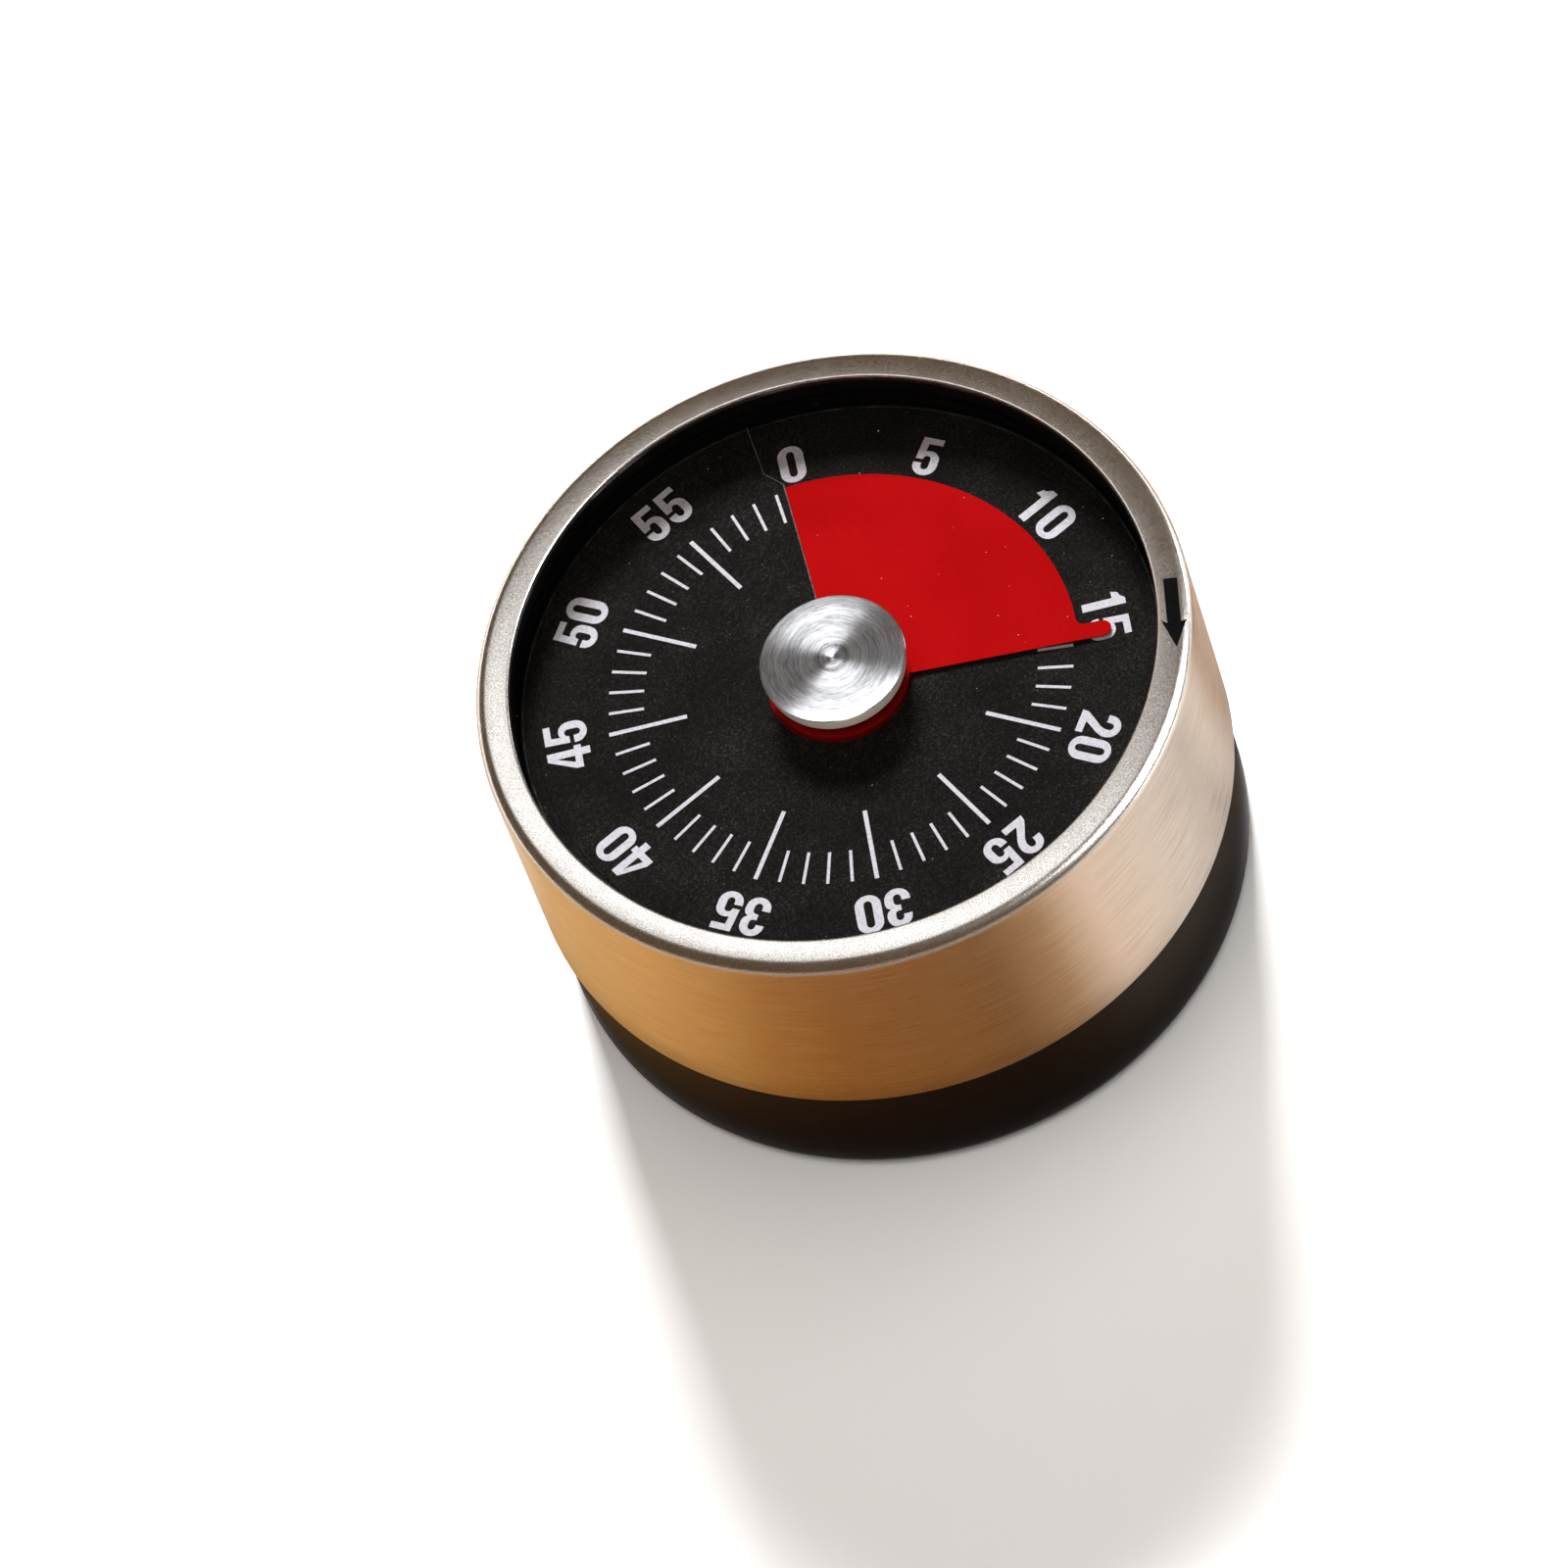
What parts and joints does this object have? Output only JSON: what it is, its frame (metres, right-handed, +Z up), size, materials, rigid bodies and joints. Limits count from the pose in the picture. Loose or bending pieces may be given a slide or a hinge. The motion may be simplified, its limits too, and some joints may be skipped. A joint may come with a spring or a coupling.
{
  "type": "kitchen timer",
  "caption": "Round wind-up kitchen timer with a turning steel shell, black dial, red time sector and centre knob cap on a magnetic black base.",
  "frame": {"origin": "centre of the flat underside, where the timer stands", "axes": "+Z up through the dial, +Y to the dial's 0 mark, +X to its 15 mark"},
  "size_m": [0.078, 0.078, 0.0435],
  "materials": {
    "shell_steel": "fine brushing around the side, bead-blasted on the bezel",
    "black_plastic": "satin moulded",
    "wall_black": "satin moulded",
    "dial_black": "fine matt grain",
    "red_film": "satin film",
    "red_plastic": "satin moulded",
    "white_plastic": "satin",
    "clear_window": "clear polished",
    "turned_aluminium": "concentric turning marks",
    "rubber_pad": "matt",
    "magnet_ferrite": "sintered",
    "bell_steel": "bright plated",
    "plain_steel": "turned",
    "spring_steel": "blued",
    "train_brass": "stamped and turned"
  },
  "bodies": {
    "base": {"base_cup": "black_plastic", "bell": "bell_steel", "bell_screw": "plain_steel", "dial_carrier": "black_plastic", "dial_plate": "dial_black", "dial_screws": "plain_steel", "dial_spacers": "white_plastic", "foot_pad": "rubber_pad", "hammer_pin": "plain_steel", "lower_plate": "train_brass", "magnets": "magnet_ferrite", "mainspring": "spring_steel", "movement_screws": "plain_steel", "pillar_nuts": "plain_steel", "pillars": "train_brass", "spring_post": "plain_steel", "trip_lever": "plain_steel", "trip_lever_screw": "plain_steel", "upper_plate": "train_brass"},
    "shell": {"steel_shell": "shell_steel", "slide_ring": "white_plastic", "window_seat": "wall_black", "window_retainer": "wall_black", "window": "clear_window", "knob_cap": "turned_aluminium", "main_arbor": "plain_steel", "main_wheel": "train_brass", "spring_collet": "train_brass", "release_cam": "plain_steel"},
    "sector": {"red_sector": "red_film", "sector_hub": "red_plastic"},
    "second": {"second_arbor": "plain_steel", "second_wheel": "train_brass"},
    "third": {"third_arbor": "plain_steel", "third_wheel": "train_brass"},
    "escape": {"escape_arbor": "plain_steel", "escape_wheel": "train_brass"},
    "balance": {"balance_staff": "plain_steel", "pallet_lever": "plain_steel", "pallet_pins": "plain_steel", "balance_wheel": "train_brass"},
    "hammer": {"hammer_arm": "plain_steel", "hammer_head": "train_brass"}
  },
  "joints": [
    {"name": "shell_turn", "type": "hinge", "parent": "base", "child": "shell", "pos_m": [0, 0, 0], "axis": [0, 0, -1], "range_deg": [-92.8, 237.2]},
    {"name": "sector_lift", "type": "slide", "parent": "shell", "child": "sector", "axis": [0, 0, 1], "range_m": [-0.00035, 0.0009]},
    {"name": "second_spin", "type": "hinge", "parent": "base", "child": "second", "pos_m": [-0.01691, -0.00616, 0], "axis": [0, 0, -1], "range_deg": [-1200, 480]},
    {"name": "third_spin", "type": "hinge", "parent": "base", "child": "third", "pos_m": [-0.0081, -0.01829, 0], "axis": [0, 0, -1], "range_deg": [-1860, 4750]},
    {"name": "escape_spin", "type": "hinge", "parent": "base", "child": "escape", "pos_m": [0.00382, -0.01963, 0], "axis": [0, 0, -1], "range_deg": [-14240, 5570]},
    {"name": "balance_swing", "type": "hinge", "parent": "base", "child": "balance", "pos_m": [0.01233, -0.02256, 0], "axis": [0, 0, -1], "range_deg": [-6, 6]},
    {"name": "hammer_swing", "type": "hinge", "parent": "base", "child": "hammer", "pos_m": [-0.00992, -0.02725, 0], "axis": [0, 0, 1], "range_deg": [0, 8], "stiffness_Nm_per_rad": 0.001}
  ],
  "couplings": [
    {"joint": "sector_lift", "follows": "shell_turn", "m_per_rad": 0.00020054},
    {"joint": "second_spin", "follows": "shell_turn", "ratio": -5},
    {"joint": "third_spin", "follows": "shell_turn", "ratio": 20},
    {"joint": "escape_spin", "follows": "shell_turn", "ratio": -60}
  ]
}
